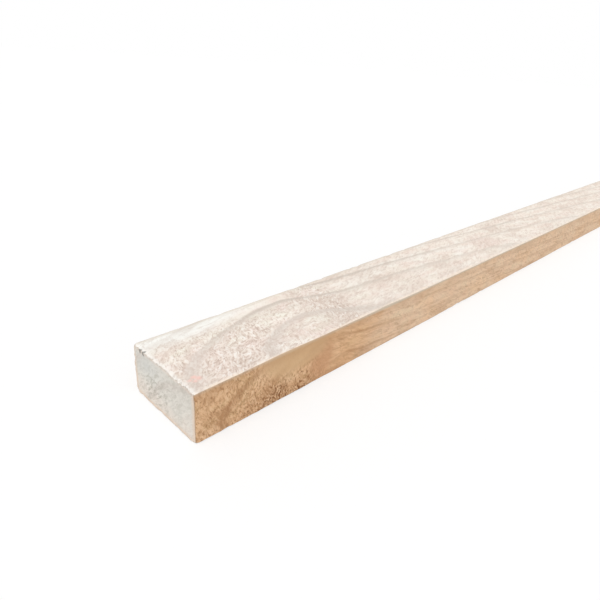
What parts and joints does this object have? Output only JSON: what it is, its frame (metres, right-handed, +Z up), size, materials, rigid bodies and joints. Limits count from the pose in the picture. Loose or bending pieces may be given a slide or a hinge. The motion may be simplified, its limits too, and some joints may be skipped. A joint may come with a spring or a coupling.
{
  "type": "wooden batten",
  "caption": "Straight sawn softwood batten of small rectangular section with eased arrises and square-cut ends, for carrying tiles, cladding or boards.",
  "frame": {"origin": "middle of the wide face that lies on the floor", "axes": "+X along the grain, from the end that the picture shows to the other end; +Y across the wide face; +Z up through the thickness"},
  "size_m": [1.8, 0.047, 0.025],
  "materials": {
    "sawn_softwood": "rough sawn, untreated"
  },
  "bodies": {
    "root": {"batten": "sawn_softwood"}
  },
  "joints": []
}
